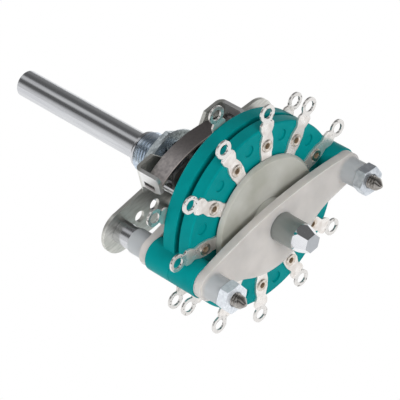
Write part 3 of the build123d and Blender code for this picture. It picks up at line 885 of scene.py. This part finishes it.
# %% [markdown]
# ## The pieces that stay as they are
# Six pieces are small, or lie deep inside. Their measured shapes are all that is needed, and they
# only get their finish.

# %% Finishes for the inner pieces
INNER = {"star_wheel": star_steel, "stop_arm": rolled_sheet, "detent_roller": dark_steel,
         "stop_pins": dark_steel, "cage_pillars": turned_steel, "contact_blades": silver_strip}
for node, material in INNER.items():
    nodes[node].data.materials.clear()
    nodes[node].data.materials.append(material)

# %% [markdown]
# ## The set
# The switch is seen from above and behind, at a small tilt. Metal looks like metal only when it
# has something to mirror, so the sky that lights the scene is soft and even, and a second sky,
# with bright and dark strips, is seen only in reflections.

# %% Camera
TARGET = Vector((7.3, 12.25, 4.7)) * MM
AZIMUTH, ELEVATION, ROLL = math.radians(143.87), math.radians(42.98), math.radians(-13.4)
DISTANCE = 502.4 * MM
SENSOR, LENS = 36.0, 214.9
level = math.cos(ELEVATION)
level_right = Vector((math.cos(AZIMUTH), math.sin(AZIMUTH), 0))
back = Vector((math.sin(AZIMUTH) * level, -math.cos(AZIMUTH) * level, math.sin(ELEVATION)))
level_up = back.cross(level_right)
right = math.cos(ROLL) * level_right + math.sin(ROLL) * level_up
up = back.cross(right)
turned = Matrix((right, up, back)).transposed().to_4x4()
bpy.ops.object.camera_add()
camera = bpy.context.object
camera.data.sensor_width = SENSOR
camera.data.lens = LENS
camera.data.clip_start, camera.data.clip_end = 0.01, 10
camera.matrix_world = Matrix.Translation(TARGET + DISTANCE * back) @ turned
bpy.context.scene.camera = camera

# %% [markdown]
# Each sky is a ramp of greys over one part of the direction: over the height for the soft one,
# and from side to side for the one with strips. A ramp is born with two marks, so the first two
# stops of a list take those, and the rest are added.

# %% Sky
SOFT_SKY = [(0.0, 0.34), (0.80, 0.55), (0.3, 0.40)]
MIRRORED_SKY = [(-1.0, 0.42), (1.0, 1.0), (-0.80, 0.30), (-0.62, 0.20), (-0.47, 0.13),
                (-0.22, 0.13), (-0.08, 0.62), (0.18, 0.66), (0.32, 0.12), (0.58, 0.12),
                (0.70, 0.70), (0.82, 0.95)]
world = bpy.data.worlds.new("studio sky")
bpy.context.scene.world = world
world.use_nodes = True
sky, sky_link = world.node_tree.nodes, world.node_tree.links.new
sky.clear()
direction = sky.new("ShaderNodeTexCoord")
parts = sky.new("ShaderNodeSeparateXYZ")
sky_link(direction.outputs["Generated"], parts.inputs["Vector"])


def sky_ramp(stops, along, low):
    """A background of (position, grey) stops over one part of the direction, from low to 1."""
    spread = sky.new("ShaderNodeMapRange")
    spread.inputs["From Min"].default_value = low
    ramp = sky.new("ShaderNodeValToRGB")
    marks = ramp.color_ramp.elements
    for number, (position, grey) in enumerate(stops):
        mark = marks[number] if number < 2 else marks.new(1.0)
        mark.position = (position - low) / (1 - low)
        mark.color = (grey, grey, grey, 1)
    sky_link(parts.outputs[along], spread.inputs["Value"])
    sky_link(spread.outputs["Result"], ramp.inputs["Fac"])
    light = sky.new("ShaderNodeBackground")
    sky_link(ramp.outputs["Color"], light.inputs["Color"])
    return light


soft_sky = sky_ramp(SOFT_SKY, "Z", 0.0)
mirrored_sky = sky_ramp(MIRRORED_SKY, "X", -1.0)
white = sky.new("ShaderNodeBackground")
white.inputs["Color"].default_value = (1, 1, 1, 1)
seen = sky.new("ShaderNodeLightPath")
in_metal = sky.new("ShaderNodeMixShader")
in_camera = sky.new("ShaderNodeMixShader")
sky_out = sky.new("ShaderNodeOutputWorld")
sky_link(seen.outputs["Is Glossy Ray"], in_metal.inputs["Fac"])
sky_link(soft_sky.outputs["Background"], in_metal.inputs[1])
sky_link(mirrored_sky.outputs["Background"], in_metal.inputs[2])
sky_link(seen.outputs["Is Camera Ray"], in_camera.inputs["Fac"])
sky_link(in_metal.outputs["Shader"], in_camera.inputs[1])
sky_link(white.outputs["Background"], in_camera.inputs[2])
sky_link(in_camera.outputs["Shader"], sky_out.inputs["Surface"])

# %% [markdown]
# The table is white to the camera and in reflections, and keeps soft shadows for the light that
# bounces. From below it is clear, so that the underside of the switch can be looked at.

# %% Table
TABLE_DROP = 90 * MM
TABLE_SIZE = 4
bpy.ops.mesh.primitive_plane_add(size=TABLE_SIZE, location=(0, 0, -TABLE_DROP))
table = bpy.context.object
table.name = "table"
table_top = bpy.data.materials.new("white table")
table_top.use_nodes = True
tree, link = table_top.node_tree.nodes, table_top.node_tree.links.new
tree.clear()
matt = tree.new("ShaderNodeBsdfDiffuse")
matt.inputs["Color"].default_value = (0.8, 0.8, 0.8, 1)
glow = tree.new("ShaderNodeEmission")
glow.inputs["Color"].default_value = (1, 1, 1, 1)
rays = tree.new("ShaderNodeLightPath")
either = tree.new("ShaderNodeMath")
either.operation = "MAXIMUM"
any_of = tree.new("ShaderNodeMath")
any_of.operation = "MAXIMUM"
from_above = tree.new("ShaderNodeMixShader")
under = tree.new("ShaderNodeNewGeometry")
clear = tree.new("ShaderNodeBsdfTransparent")
from_both = tree.new("ShaderNodeMixShader")
out = tree.new("ShaderNodeOutputMaterial")
link(rays.outputs["Is Camera Ray"], either.inputs[0])
link(rays.outputs["Is Glossy Ray"], either.inputs[1])
link(either.outputs["Value"], any_of.inputs[0])
link(rays.outputs["Is Transmission Ray"], any_of.inputs[1])
link(any_of.outputs["Value"], from_above.inputs["Fac"])
link(matt.outputs["BSDF"], from_above.inputs[1])
link(glow.outputs["Emission"], from_above.inputs[2])
link(under.outputs["Backfacing"], from_both.inputs["Fac"])
link(from_above.outputs["Shader"], from_both.inputs[1])
link(clear.outputs["BSDF"], from_both.inputs[2])
link(from_both.outputs["Shader"], out.inputs["Surface"])
table.data.materials.append(table_top)

# %% [markdown]
# Two soft lamps give the shapes their light and dark sides. Reflections don't see them.


# %% Lamps
def softbox(name, place, size, power):
    """A square area lamp that faces the switch."""
    bpy.ops.object.light_add(type="AREA", location=place)
    lamp = bpy.context.object
    lamp.name = name
    lamp.data.shape = "SQUARE"
    lamp.data.size = size
    lamp.data.energy = power
    lamp.visible_glossy = False
    lamp.rotation_euler = (TARGET - Vector(place)).to_track_quat("-Z", "Y").to_euler()


softbox("key softbox", place=(0.10, 0.85, 0.42), size=0.45, power=4.6)
softbox("side softbox", place=(0.65, -0.05, 0.20), size=0.40, power=2.0)
bpy.context.scene.view_settings.view_transform = "Standard"
